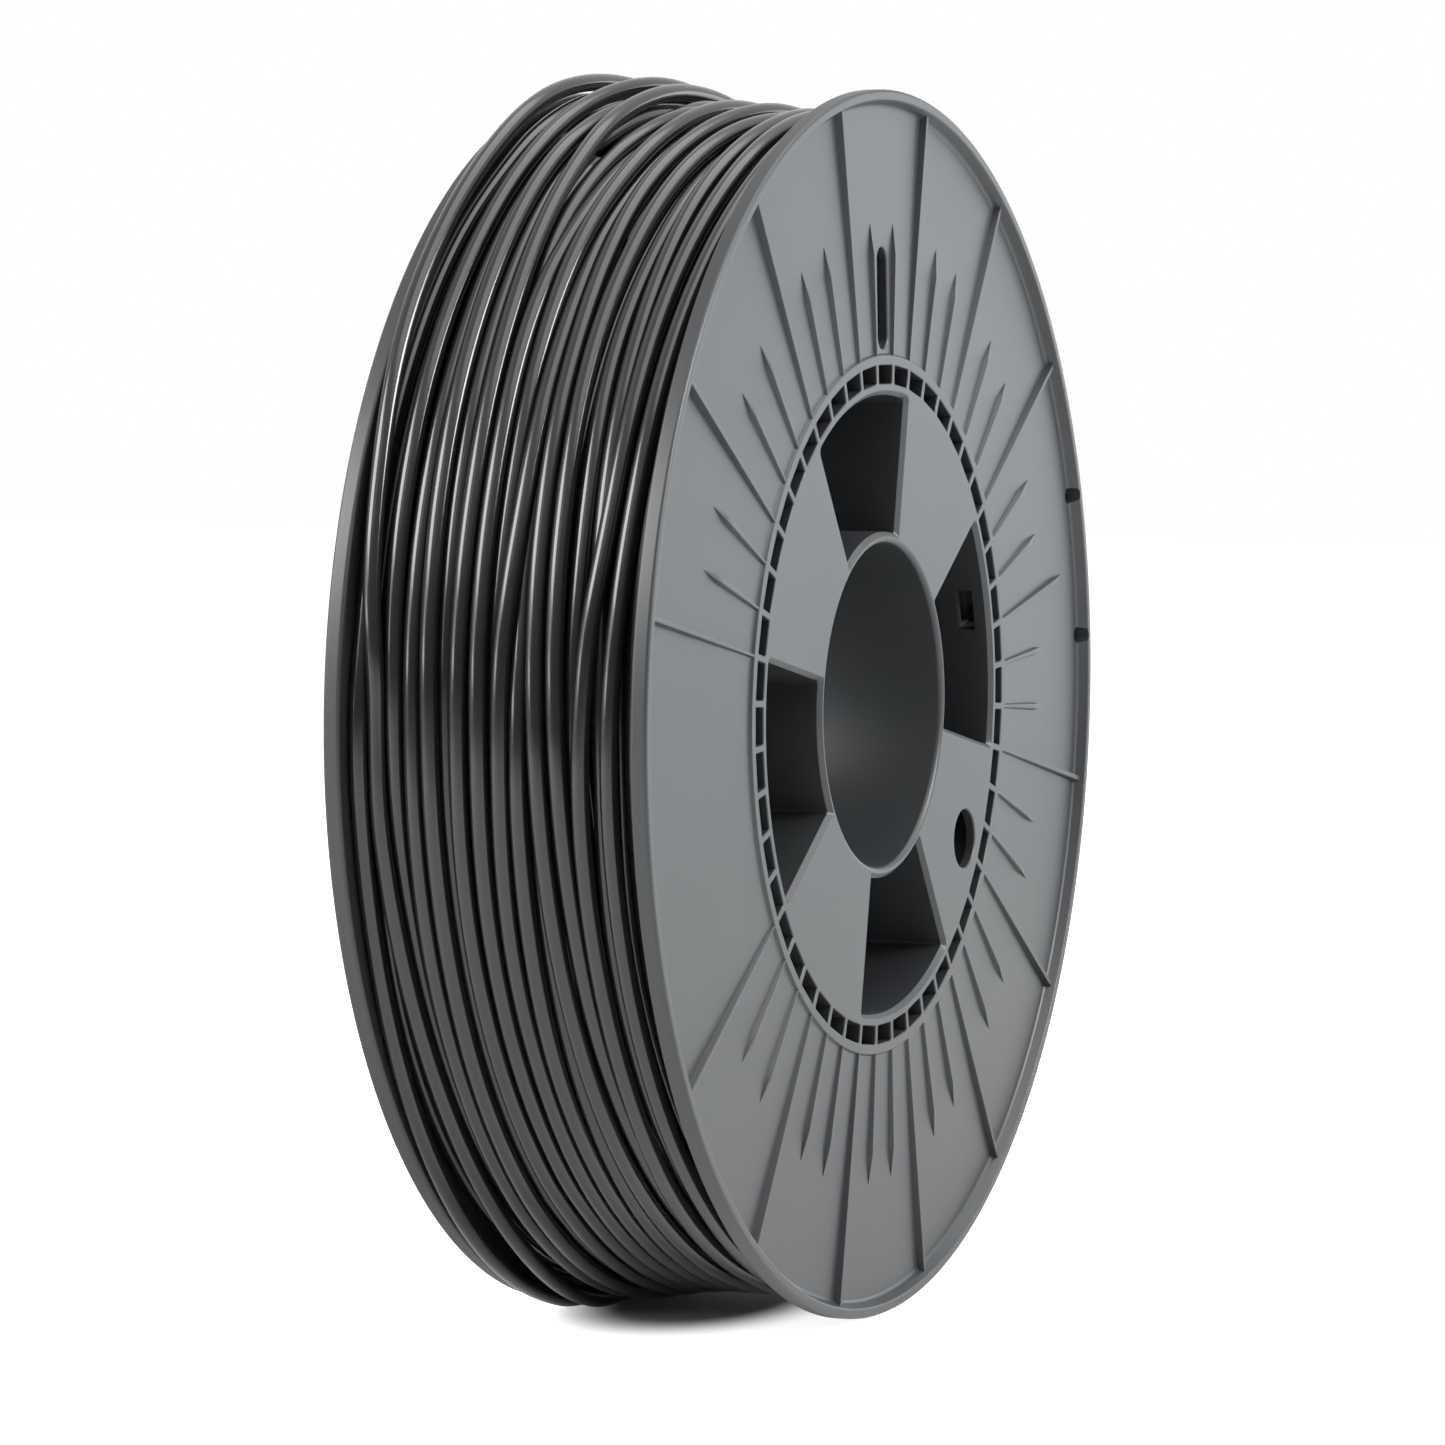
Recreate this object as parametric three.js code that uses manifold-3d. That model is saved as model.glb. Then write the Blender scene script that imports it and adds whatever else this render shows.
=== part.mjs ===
// A spool of 3-D printing filament: two equal mouldings joined at mid-width, and the filament wound on them.
// Millimetres, +Z up. The spool's axis is Y and the origin is the middle of its bore.
// The front half faces -Y. Angles are seen from its outside: 0 along +X, growing towards +Z.
import * as THREE from "three";
import { mergeVertices } from "three/addons/utils/BufferGeometryUtils.js";
import Module from "manifold-3d";

const wasm = await Module();
wasm.setup();

// The whole spool
const spoolWidth = 53.5; // over both rims
const flangeDiameter = 200;
const boreDiameter = 53;
const drumDiameter = 114.6; // the cylinder that the filament is wound on
const seamGap = 0.3; // between the two halves
const symmetryAngle = 11.25; // the rear half is the front one turned about the line at this angle

// Flange plate and its rim
const flangeThickness = 2.8; // from the rim's outer face to the winding side
const rimTop = 1.6; // width of the rim, with its rounded edge
const rimEdge = 0.5; // rounding of the rim's edges
const rimFoot = 1.2; // how far the rim's sloped inner wall spreads down to the plate
const plateAtRim = 0.9; // plate thickness where it meets the rim
const plateAtHub = 1.6; // plate thickness where it meets the hub face
const rootFillet = 0.9; // between the drum and the winding side of the flange

// Hub face, drum and bore tube
const hubSetback = 0.75; // the hub face and the ribs lie this far inside the rim's outer face
const hubFaceThickness = 1.6;
const drumInnerWall = 1.85; // between the sector openings and the core windows
const drumOuterWall = 1.8; // between the core windows and the filament
const tubeWall = 1.8;
const tubeMouth = 0.6; // how much wider the bore is at its mouth, all round
const tubeMouthDepth = 1.1;

// Core windows in the drum wall
const windowCount = 48;
const windowHeight = 3.05;
const windowRib = 1.1; // material between two windows

// Sector openings round the bore, and the walls beside them
const sectorCount = 4;
const sectorAngle = 45;
const sideWall = 1.6;
const openingChamfer = 0.7;

// Ribs on the flange
const ribRoot = 0.7; // width at the hub
const longRibEvery = 3; // one rib in this many reaches the rim
const longRibWidth = 1.5; // width at the rim
const shortRibWidth = 1.6; // width where it starts to narrow
const shortRibLength = 16.2; // from the drum to where it starts to narrow
const ribTipLength = 5;
const cutRibInset = 10; // from the flange's edge to the tip of the rib between the filament holes
const bareFieldHalf = 20; // half the angle of the field without ribs, opposite that rib

// Drive hole for a winder's pin
const driveHoleDiameter = 10;
const driveHoleEdge = 0.6; // from the hole to the drum's inner wall

// Radial slot that shows how much filament is left
const gaugeSlotAngle = 90;
const gaugeSlotWidth = 4.3;
const gaugeSlotLength = 16.5;
const gaugeSlotFromDrum = 0.7;

// Holes in the rim for the filament's loose end
const endHoleDiameter = 3.6;
const endHoleInset = 2.7; // from the flange's edge to the hole's middle
const endHoleSpread = 7.5; // angle from the symmetry line to each hole

// Slot through the drum for the filament's first end
const anchorLength = 7;
const anchorWidth = 3.1;
const anchorFromFlange = 0.75;

// Joint of the two halves: half a tongue ring and half a groove on each bore tube
const tongueLength = 3.3;
const tongueThickness = 0.6;
const tongueInset = 0.1; // from the tube's outer face
const tongueEndAngle = 1.5; // left free at each end of the half ring
const jointClearance = 0.3;

// Filament
const filamentDiameter = 2.85;
const windingInset = 2.5; // from the flange's edge to the crest of the outermost turns
const windingClearance = 0.3;
const turnGroove = 1.1; // depth between two turns
const turnCrest = 1.1; // width of a turn's flat crest

// Facets of a full turn
const hubFacets = windowCount;
const rimFacets = 72;
const windingFacets = 36;
const arcSegments = 6; // of a hole's quarter turn

// Sizes that follow
const faceY = -spoolWidth / 2; // the rim's outer face
const hubFaceY = faceY + hubSetback;
const windingFaceY = faceY + flangeThickness;
const seamY = -seamGap / 2;
const boreRadius = boreDiameter / 2;
const mouthRadius = boreRadius + tubeMouth;
const tubeRadius = boreRadius + tubeWall;
const drumRadius = drumDiameter / 2;
const windowOuter = drumRadius - drumOuterWall;
const windowInner = windowOuter - windowHeight;
const drumInnerRadius = windowInner - drumInnerWall;
const windowPitch = 360 / windowCount;
const sectorPitch = 360 / sectorCount;
const flangeRadius = flangeDiameter / 2;
const rimInner = flangeRadius - rimTop;
const overcut = 1; // how far a cutter runs past what it cuts

const radians = THREE.MathUtils.degToRad;

// A closed three.js geometry as a solid that can be joined and cut.
function solidOf(geometry) {
  const bare = geometry.index ? geometry.toNonIndexed() : geometry;
  bare.deleteAttribute("normal");
  bare.deleteAttribute("uv");
  const merged = mergeVertices(bare, 1e-4);
  return new wasm.Manifold(
    new wasm.Mesh({
      numProp: 3,
      vertProperties: merged.attributes.position.array,
      triVerts: new Uint32Array(merged.index.array),
    }),
  );
}

// A solid as a named mesh.
function meshOf(solid, name, material) {
  const { vertProperties, triVerts } = solid.getMesh();
  const geometry = new THREE.BufferGeometry();
  geometry.setAttribute("position", new THREE.BufferAttribute(vertProperties, 3));
  geometry.setIndex(new THREE.BufferAttribute(triVerts, 1));
  geometry.computeVertexNormals();
  const mesh = new THREE.Mesh(geometry, material);
  mesh.name = name;
  return mesh;
}

// A ring turned about the spool's axis from a closed profile of [radius, y] points.
// Its facets meet on the symmetry line, so that those of the hub meet on the lines of the ribs.
function turnedRing(profile, facets) {
  const points = [...profile, profile[0]].map(([r, y]) => new THREE.Vector2(r, y));
  const firstFacet = Math.PI / 2 - radians(symmetryAngle);
  return solidOf(new THREE.LatheGeometry(points, facets, firstFacet));
}

// The [x, z] point at a radius and an angle, moved sideways towards growing angles.
function polar(radius, angle, sideways = 0) {
  const a = radians(angle);
  return [
    radius * Math.cos(a) - sideways * Math.sin(a),
    radius * Math.sin(a) + sideways * Math.cos(a),
  ];
}

function polygon(points) {
  return new THREE.Shape(points.map(([x, z]) => new THREE.Vector2(x, z)));
}

// A shape drawn in x and z, carried along the spool's axis from one y to another.
function prism(shape, yLow, yHigh) {
  const geometry = new THREE.ExtrudeGeometry(shape, {
    depth: yHigh - yLow,
    bevelEnabled: false,
    curveSegments: arcSegments,
  });
  return solidOf(geometry.rotateX(Math.PI / 2).translate(0, yHigh, 0));
}

// A ring's sector, with a corner on each facet line of the hub.
function ringSector(inner, outer, start, end) {
  const steps = Math.max(1, Math.round((end - start) / windowPitch));
  const angles = Array.from({ length: steps + 1 }, (_, i) => start + ((end - start) * i) / steps);
  const outerSide = angles.map((a) => polar(outer, a));
  const innerSide = angles.reverse().map((a) => polar(inner, a));
  return polygon([...outerSide, ...innerSide]);
}

// Flange plate with its rim. The plate's outer face sinks away from the hub face towards the rim.
function flangePlate() {
  const insideDrum = drumRadius - drumOuterWall / 2;
  return turnedRing(
    [
      [insideDrum, windingFaceY - plateAtHub],
      [drumRadius, windingFaceY - plateAtHub],
      [rimInner - rimFoot, windingFaceY - plateAtRim],
      [rimInner, faceY + rimEdge],
      [rimInner + rimEdge, faceY],
      [flangeRadius - rimEdge, faceY],
      [flangeRadius, faceY + rimEdge],
      [flangeRadius, windingFaceY - rimEdge],
      [flangeRadius - rimEdge, windingFaceY],
      [drumRadius + rootFillet, windingFaceY],
      [drumRadius, windingFaceY + rootFillet],
      [insideDrum, windingFaceY + rootFillet],
    ],
    rimFacets,
  );
}

// Drum wall, still without its windows.
function drumWall() {
  return turnedRing(
    [
      [drumInnerRadius, hubFaceY],
      [drumRadius, hubFaceY],
      [drumRadius, seamY],
      [drumInnerRadius, seamY],
    ],
    hubFacets,
  );
}

// Bore tube with a widened mouth.
function boreTube() {
  return turnedRing(
    [
      [mouthRadius, hubFaceY],
      [tubeRadius, hubFaceY],
      [tubeRadius, seamY],
      [boreRadius, seamY],
      [boreRadius, hubFaceY + tubeMouthDepth],
    ],
    hubFacets,
  );
}

// The closed part of the hub face between two openings, with a wall down each of its sides.
function hubWeb(middle) {
  const half = (sectorPitch - sectorAngle) / 2;
  const insideTube = (tubeRadius + mouthRadius) / 2;
  const insideDrum = drumInnerRadius + drumInnerWall / 2;
  const block = prism(
    ringSector(insideTube, insideDrum, middle - half, middle + half),
    hubFaceY,
    seamY,
  );
  const hollow = prism(
    polygon([
      polar(boreRadius, middle - half, sideWall),
      polar(drumRadius, middle - half, sideWall),
      polar(drumRadius, middle),
      polar(drumRadius, middle + half, -sideWall),
      polar(boreRadius, middle + half, -sideWall),
      polar(insideTube, middle),
    ]),
    hubFaceY + hubFaceThickness,
    seamY + overcut,
  );
  return block.subtract(hollow);
}

// Cutter that chamfers the edges of a sector opening: it widens towards the hub face.
function openingMouth(middle) {
  const shape = ringSector(
    tubeRadius,
    drumInnerRadius,
    middle - sectorAngle / 2,
    middle + sectorAngle / 2,
  );
  const geometry = new THREE.ExtrudeGeometry(shape, {
    depth: overcut,
    bevelSegments: 1,
    bevelSize: openingChamfer,
    bevelThickness: openingChamfer,
  });
  return solidOf(geometry.rotateX(Math.PI / 2).translate(0, hubFaceY, 0));
}

// One core window, from the hub face to the seam.
function coreWindow(middle) {
  const low = middle - windowPitch / 2;
  const high = middle + windowPitch / 2;
  return prism(
    polygon([
      polar(windowInner, low, windowRib / 2),
      polar(windowOuter, low, windowRib / 2),
      polar(windowOuter, high, -windowRib / 2),
      polar(windowInner, high, -windowRib / 2),
    ]),
    hubFaceY - overcut,
    seamY + overcut,
  );
}

// A rib that widens outwards up to a radius, then runs to a point, or ends there if it has no tip.
function flangeRib(angle, reach, width, tip) {
  const start = drumRadius - drumOuterWall / 2;
  const shape = polygon([
    polar(start, angle, -ribRoot / 2),
    polar(reach, angle, -width / 2),
    ...(tip ? [polar(tip, angle)] : []),
    polar(reach, angle, width / 2),
    polar(start, angle, ribRoot / 2),
  ]);
  return prism(shape, hubFaceY, windingFaceY - plateAtRim / 2);
}

// The ribs, one to each window pitch, apart from the bare field opposite the symmetry line.
function flangeRibs() {
  const ribs = [];
  for (let i = 0; i < windowCount; i++) {
    const turned = i * windowPitch;
    const angle = symmetryAngle + turned;
    if (Math.abs(turned - 180) < bareFieldHalf) continue;
    if (i === 0) {
      const tip = flangeRadius - cutRibInset;
      ribs.push(flangeRib(angle, tip - ribTipLength, longRibWidth, tip));
    } else if (i % longRibEvery === 0) {
      ribs.push(flangeRib(angle, rimInner + rimEdge, longRibWidth));
    } else {
      const reach = drumRadius + shortRibLength;
      ribs.push(flangeRib(angle, reach, shortRibWidth, reach + ribTipLength));
    }
  }
  return ribs;
}

// Half a ring that stands out of the bore tube into the other half's groove.
const tongueOuter = tubeRadius - tongueInset;
const tongueInner = tongueOuter - tongueThickness;

function jointTongue() {
  const start = symmetryAngle + tongueEndAngle;
  const end = symmetryAngle + 180 - tongueEndAngle;
  return prism(ringSector(tongueInner, tongueOuter, start, end), seamY - overcut, seamY + tongueLength);
}

function jointGroove() {
  const shape = ringSector(
    tongueInner - jointClearance,
    tongueOuter + jointClearance,
    symmetryAngle - 180,
    symmetryAngle,
  );
  return prism(shape, seamY - (tongueLength - seamGap + jointClearance), seamY + overcut);
}

// A round hole along the spool's axis, from outside to a y.
function roundHole(radius, angle, diameter, yHigh) {
  const [x, z] = polar(radius, angle);
  const circle = new THREE.Shape().absarc(x, z, diameter / 2, 0, 2 * Math.PI, false);
  return prism(circle, faceY - overcut, yHigh);
}

function driveHole() {
  const radius = drumInnerRadius - driveHoleEdge - driveHoleDiameter / 2;
  const webMiddle = symmetryAngle - sectorPitch / 2;
  return roundHole(radius, webMiddle, driveHoleDiameter, hubFaceY + hubFaceThickness + overcut);
}

function endHole(side) {
  const radius = flangeRadius - endHoleInset;
  const angle = symmetryAngle + side * endHoleSpread;
  return roundHole(radius, angle, endHoleDiameter, windingFaceY + overcut);
}

// The radial slot through the flange plate, with round ends.
function gaugeSlot() {
  const r = gaugeSlotWidth / 2;
  const inner = drumRadius + gaugeSlotFromDrum + r;
  const outer = inner + gaugeSlotLength - gaugeSlotWidth;
  const side = radians(gaugeSlotAngle - 90);
  const shape = new THREE.Shape();
  shape.absarc(...polar(outer, gaugeSlotAngle), r, side, side + Math.PI, false);
  shape.absarc(...polar(inner, gaugeSlotAngle), r, side + Math.PI, side + 2 * Math.PI, false);
  return prism(shape, faceY - overcut, windingFaceY + overcut);
}

// The slot through the drum wall beside the flange, in the first window from the symmetry line.
function anchorSlot() {
  const depth = drumRadius - drumInnerRadius + 2 * overcut;
  const slot = new THREE.BoxGeometry(depth, anchorWidth, anchorLength);
  const y = windingFaceY + anchorFromFlange + anchorWidth / 2;
  slot.translate((drumRadius + drumInnerRadius) / 2, y, 0);
  return solidOf(slot.rotateY(-radians(symmetryAngle + windowPitch / 2)));
}

// One half of the spool, as one moulding.
function spoolHalf() {
  const sectors = Array.from({ length: sectorCount }, (_, i) => symmetryAngle + i * sectorPitch);
  const windows = Array.from(
    { length: windowCount },
    (_, i) => symmetryAngle + (i + 0.5) * windowPitch,
  );
  const body = wasm.Manifold.union([
    flangePlate(),
    drumWall(),
    boreTube(),
    ...sectors.map((middle) => hubWeb(middle + sectorPitch / 2)),
    ...flangeRibs(),
  ]);
  const cutters = wasm.Manifold.union([
    ...sectors.map(openingMouth),
    ...windows.map(coreWindow),
    driveHole(),
    endHole(-1),
    endHole(1),
    gaugeSlot(),
    anchorSlot(),
    jointGroove(),
  ]);
  return body.subtract(cutters).add(jointTongue());
}

// The wound filament, as one ring with a ridge for each turn of its outer layer.
function woundFilament() {
  const side = -windingFaceY - windingClearance;
  const turns = Math.floor((2 * side) / filamentDiameter);
  const pitch = (2 * side) / turns;
  // The middles of its facets clear the drum too.
  const inner = (drumRadius + windingClearance) / Math.cos(Math.PI / windingFacets);
  const crest = flangeRadius - windingInset;
  const outerLayer = [];
  for (let i = 0; i < turns; i++) {
    const middle = -side + (i + 0.5) * pitch;
    outerLayer.push([crest - turnGroove, middle - pitch / 2]);
    outerLayer.push([crest, middle - turnCrest / 2]);
    outerLayer.push([crest, middle + turnCrest / 2]);
  }
  return turnedRing(
    [
      [inner, rootFillet - side],
      [inner + rootFillet, -side],
      ...outerLayer,
      [crest - turnGroove, side],
      [inner + rootFillet, side],
      [inner, side - rootFillet],
    ],
    windingFacets,
  );
}

const spoolPlastic = new THREE.MeshStandardMaterial({
  color: "#34383b",
  roughness: 0.5,
  metalness: 0,
});
const filamentPlastic = new THREE.MeshStandardMaterial({
  color: "#0c0d0e",
  roughness: 0.2,
  metalness: 0,
});

const half = spoolHalf();
const frontHalf = meshOf(half, "front_spool_half", spoolPlastic);
const rearHalf = meshOf(half, "rear_spool_half", spoolPlastic);
const [symmetryX, symmetryZ] = polar(1, symmetryAngle);
rearHalf.rotateOnAxis(new THREE.Vector3(symmetryX, 0, symmetryZ), Math.PI);

const filamentSpool = new THREE.Group();
filamentSpool.add(frontHalf, rearHalf);
filamentSpool.add(meshOf(woundFilament(), "wound_filament", filamentPlastic));

export default filamentSpool;
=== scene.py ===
from math import cos, degrees, pi, radians, sin

import bmesh
import bpy
import numpy as np
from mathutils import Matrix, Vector


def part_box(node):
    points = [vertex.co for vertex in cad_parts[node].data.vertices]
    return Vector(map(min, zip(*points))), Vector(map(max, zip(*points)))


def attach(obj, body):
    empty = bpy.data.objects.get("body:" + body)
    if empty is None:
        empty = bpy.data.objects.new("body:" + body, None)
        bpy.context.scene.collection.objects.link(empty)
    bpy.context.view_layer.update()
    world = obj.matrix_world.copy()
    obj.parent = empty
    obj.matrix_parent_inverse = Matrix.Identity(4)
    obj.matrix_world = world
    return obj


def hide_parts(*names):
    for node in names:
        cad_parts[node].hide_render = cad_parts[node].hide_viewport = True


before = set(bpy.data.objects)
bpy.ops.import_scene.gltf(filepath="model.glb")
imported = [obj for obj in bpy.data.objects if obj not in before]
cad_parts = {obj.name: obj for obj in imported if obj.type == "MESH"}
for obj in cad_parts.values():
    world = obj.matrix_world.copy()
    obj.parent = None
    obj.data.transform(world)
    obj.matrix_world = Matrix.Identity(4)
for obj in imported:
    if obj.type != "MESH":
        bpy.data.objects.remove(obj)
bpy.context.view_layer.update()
mm = 0.001

# Lengths are in metres and angles in degrees. Angles run from +X towards +Z, seen from the front, -Y.
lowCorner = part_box("front_spool_half")[0]
faceY = lowCorner.y  # outer face of the front rim
floorZ = lowCorner.z


# One output socket. Arithmetic on it adds Math nodes to its material.
class Wire:
    def __init__(self, tree, socket):
        self.tree = tree
        self.socket = socket

    # Adds a node of a type, sets its settings, then fills its sockets with values or wires.
    # A socket goes by its name, or by its number after a low line.
    def node(self, kind, settings=None, output=0, **inputs):
        made = self.tree.nodes.new(kind)
        for name, value in (settings or {}).items():
            setattr(made, name, value)
        for name, value in inputs.items():
            key = int(name[1:]) if name[0] == "_" else name.replace("_", " ")
            if isinstance(value, Wire):
                self.tree.links.new(value.socket, made.inputs[key])
            else:
                made.inputs[key].default_value = value
        return Wire(self.tree, made.outputs[output])

    def math(self, operation, first, second):
        return self.node("ShaderNodeMath", {"operation": operation}, _0=first, _1=second)

    def __add__(self, other):
        return self.math("ADD", self, other)

    def __radd__(self, other):
        return self.math("ADD", other, self)

    def __sub__(self, other):
        return self.math("SUBTRACT", self, other)

    def __rsub__(self, other):
        return self.math("SUBTRACT", other, self)

    def __mul__(self, other):
        return self.math("MULTIPLY", self, other)

    def __rmul__(self, other):
        return self.math("MULTIPLY", other, self)

    # 0 below the low value, 1 above the high one, and a smooth step between.
    def ramp(self, low, high):
        settings = {"interpolation_type": "SMOOTHSTEP"}
        return self.node("ShaderNodeMapRange", settings, _0=self, _1=low, _2=high)

    # The dark colour where it is 0, the light one where it is 1.
    def mixed(self, dark, light):
        settings = {"data_type": "RGBA"}
        return self.node("ShaderNodeMix", settings, output=2, _0=self, _6=(*dark, 1), _7=(*light, 1))

    def into(self, shader, name):
        self.tree.links.new(self.socket, shader.inputs[name])


# The material, its main shader, and Object coordinates to build patterns from.
def newMaterial(name):
    material = bpy.data.materials.new(name)
    material.use_nodes = True
    nodes = material.node_tree.nodes
    place = Wire(material.node_tree, nodes.new("ShaderNodeTexCoord").outputs["Object"])
    return material, nodes["Principled BSDF"], place


spoolFinish = {
    "colour": (0.0165, 0.0185, 0.021),
    "paler": (0.0235, 0.026, 0.0285),
    "cloudScale": 14,
    "grainSize": 0.35 * mm,
    "grainDepth": 0.008 * mm,
    "grainShare": 0.3,  # of the colour's change that the grain makes, the clouds make the rest
    "roughness": 0.42,
    "rougher": 0.10,  # how far the roughness wanders
}


def spoolPlastic():
    material, shader, place = newMaterial("satin spool plastic")
    cloudScale, grainScale = spoolFinish["cloudScale"], 1 / spoolFinish["grainSize"]
    clouds = place.node("ShaderNodeTexNoise", Vector=place, Scale=cloudScale, Detail=3)
    grain = place.node("ShaderNodeTexNoise", Vector=place, Scale=grainScale, Detail=2)
    tone = clouds * (1 - spoolFinish["grainShare"]) + grain * spoolFinish["grainShare"]
    tone.mixed(spoolFinish["colour"], spoolFinish["paler"]).into(shader, "Base Color")
    roughness = spoolFinish["roughness"] + (clouds - 0.5) * spoolFinish["rougher"]
    roughness.into(shader, "Roughness")
    bump = place.node("ShaderNodeBump", Height=grain, Distance=spoolFinish["grainDepth"])
    bump.into(shader, "Normal")
    return material


filamentFinish = {
    "colour": (0.006, 0.006, 0.0065),
    "paler": (0.012, 0.012, 0.013),
    "roughness": 0.17,
    "duller": 0.10,  # how much duller the scuffed stretches are
    "scuffScale": 60,
    "waveSize": 6 * mm,
    "waveDepth": 0.02 * mm,
}


def filamentPlastic():
    material, shader, place = newMaterial("glossy black filament")
    scuffScale, waveScale = filamentFinish["scuffScale"], 1 / filamentFinish["waveSize"]
    scuffs = place.node("ShaderNodeTexNoise", Vector=place, Scale=scuffScale, Detail=4)
    waves = place.node("ShaderNodeTexNoise", Vector=place, Scale=waveScale, Detail=1)
    roughness = filamentFinish["roughness"] + (scuffs - 0.4) * filamentFinish["duller"]
    roughness.into(shader, "Roughness")
    scuffs.mixed(filamentFinish["colour"], filamentFinish["paler"]).into(shader, "Base Color")
    bump = place.node("ShaderNodeBump", Height=waves, Distance=filamentFinish["waveDepth"])
    bump.into(shader, "Normal")
    return material


def addPiece(name, points, faces, material=None):
    mesh = bpy.data.meshes.new(name)
    mesh.from_pydata(points.reshape(-1, 3).tolist(), [], faces)
    mesh.validate()
    mesh.update()
    piece = bpy.data.objects.new(name, mesh)
    bpy.context.scene.collection.objects.link(piece)
    if material:
        mesh.materials.append(material)
    return piece


# Quads of a grid whose columns close on themselves, as lists of point numbers.
def gridFaces(rows, columns, closedRows=False, start=0):
    r = np.arange(rows if closedRows else rows - 1)[:, None]
    c = np.arange(columns)[None, :]
    nextRow, nextColumn = (r + 1) % rows, (c + 1) % columns
    corners = [(r, c), (r, nextColumn), (nextRow, nextColumn), (nextRow, c)]
    quads = np.stack([row * columns + column for row, column in corners], -1)
    return (quads.reshape(-1, 4) + start).tolist()


# Points along a path of straight runs, with an arc of the corner's radius at each (u, v, radius) corner.
def roundedPath(corners, steps=6, closed=True):
    path = []
    corners = [np.array(c, float) for c in corners]
    for i, corner in enumerate(corners):
        here, radius = corner[:2], corner[2]
        if radius == 0 or (not closed and i in (0, len(corners) - 1)):
            path.append(here[None])
            continue
        back = corners[i - 1][:2] - here
        ahead = corners[(i + 1) % len(corners)][:2] - here
        back, ahead = back / np.linalg.norm(back), ahead / np.linalg.norm(ahead)
        half = np.arccos(np.clip(back @ ahead, -1, 1)) / 2
        middle = back + ahead
        centre = here + middle / np.linalg.norm(middle) * radius / np.sin(half)
        startArm = here + back * radius / np.tan(half) - centre
        endArm = here + ahead * radius / np.tan(half) - centre
        sweep = pi - 2 * half
        t = np.linspace(0, 1, steps + 1)[:, None]
        arc = (np.sin((1 - t) * sweep) * startArm + np.sin(t * sweep) * endArm) / np.sin(sweep)
        path.append(centre + arc)
    return np.concatenate(path)


# A ring: each profile point (r, y) goes round the spool's axis, at (r cos a, y, r sin a).
def turned(name, profile, steps):
    a = np.arange(steps)[:, None] * 2 * pi / steps
    r, y = profile[:, 0][None], profile[:, 1][None]
    points = np.stack([r * np.cos(a), y + 0 * a, r * np.sin(a)], -1)
    return addPiece(name, points, gridFaces(steps, len(profile), closedRows=True))


# Closed solids from outlines laid on each other, with flat ends: levels[k, i, j] is point j of outline i
# of solid k.
def stacked(name, levels):
    rows, columns = levels.shape[1:3]
    faces = []
    for k in range(len(levels)):
        start = k * rows * columns
        faces += gridFaces(rows, columns, start=start)
        faces.append(list(range(start + columns - 1, start - 1, -1)))
        faces.append(list(range(start + (rows - 1) * columns, start + rows * columns)))
    return addPiece(name, levels, faces)


# The (x, z) point at a radius and an angle, moved sideways towards growing angles.
def polar(radius, angle, sideways=0.0):
    a = np.radians(angle)
    x = radius * np.cos(a) - sideways * np.sin(a)
    z = radius * np.sin(a) + sideways * np.cos(a)
    return np.stack([x, z], -1)


# Cuts the other solid out of the piece, or adds it, and takes the other away.
def combine(piece, other, operation):
    step = piece.modifiers.new("combine", "BOOLEAN")
    step.operation = operation
    step.solver = "MANIFOLD"
    step.object = other
    graph = bpy.context.evaluated_depsgraph_get()
    result = bpy.data.meshes.new_from_object(piece.evaluated_get(graph))
    piece.modifiers.clear()
    piece.data = result
    bpy.data.objects.remove(other)


# Turns all faces the same way, then outwards, going by the sign of the volume.
def faceOutwards(piece):
    work = bmesh.new()
    work.from_mesh(piece.data)
    bmesh.ops.recalc_face_normals(work, faces=work.faces)
    if work.calc_volume(signed=True) < 0:
        bmesh.ops.reverse_faces(work, faces=work.faces)
    work.to_mesh(piece.data)
    work.free()


spool = {
    "hubSetback": 0.75 * mm,
    "flangeRadius": 100 * mm,
    "flangeThickness": 2.8 * mm,
    "rimWidth": 1.65 * mm,
    "rimFoot": 0.95 * mm,
    "plateAtRim": 0.9 * mm,
    "plateAtHub": 1.6 * mm,
    "drumRadius": 57.3 * mm,
    "boreRadius": 26.5 * mm,
    "tubeRadius": 28.3 * mm,
    "hubFace": 1.6 * mm,
    "sideWall": 1.6 * mm,
    "hubSlope": 0.3 * mm,  # how far the hub's edge leans in
    "mouthRound": 0.95 * mm,
    "hubRound": 0.15 * mm,
    "hubFootRound": 0.12 * mm,
    "plateRound": 0.8 * mm,  # between the plate and the rim
    "rimInnerRound": 0.4 * mm,
    "rimOuterRound": 0.55 * mm,
    "rimBackRound": 0.6 * mm,
    "rootRound": 0.9 * mm,  # between the drum and the flange's winding side
    "seam": 0.06 * mm,
    "symmetry": 11.25,
    "pitch": 7.5,
    "steps": 288,
}
hubY = faceY + spool["hubSetback"]
windingY = faceY + spool["flangeThickness"]


# Faces that holes start from, as y at a radius. The plate's face sinks evenly from the hub's edge to the
# rim's foot.
def rimFace(radius):
    return faceY + 0 * radius


def hubFace(radius):
    return hubY + 0 * radius


def plateFace(radius):
    foot = spool["flangeRadius"] - spool["rimWidth"] - spool["rimFoot"]
    share = (radius - spool["drumRadius"]) / (foot - spool["drumRadius"])
    return windingY - spool["plateAtHub"] + share * (spool["plateAtHub"] - spool["plateAtRim"])


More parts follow.
